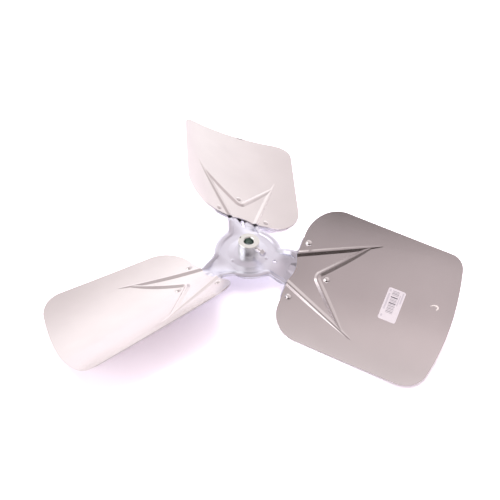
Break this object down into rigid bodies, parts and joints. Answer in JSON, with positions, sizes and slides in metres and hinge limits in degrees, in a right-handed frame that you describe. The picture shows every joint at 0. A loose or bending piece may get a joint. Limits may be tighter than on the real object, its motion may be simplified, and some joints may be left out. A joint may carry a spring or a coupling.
{
  "type": "propeller fan blade",
  "caption": "Propeller fan blade assembly: cambered aluminium blades riveted to a stamped steel spider, with a bored hub and a square-head set screw.",
  "frame": {"origin": "on the bore axis, at the spider's hub seat", "axes": "+Z along the bore axis from the spider towards the hub's free end; +X along the middle of the arm that carries the labelled blade"},
  "size_m": [0.4908, 0.5388, 0.0853],
  "materials": {
    "spider_steel": "zinc-plated stamped sheet steel, satin",
    "hub_steel": "zinc-plated turned steel, satin",
    "screw_steel": "zinc-plated steel, satin",
    "blade_aluminium": "mill-finish aluminium sheet, fine grain",
    "rivet_metal": "bright formed rivet, semi-gloss",
    "label_paper": "matt white coated paper, with no words on it"
  },
  "bodies": {
    "root": {"spider": "spider_steel", "hub": "hub_steel", "set_screw": "screw_steel", "blade_a": "blade_aluminium", "blade_b": "blade_aluminium", "blade_c": "blade_aluminium", "rivets": "rivet_metal", "label": "label_paper"}
  },
  "joints": []
}
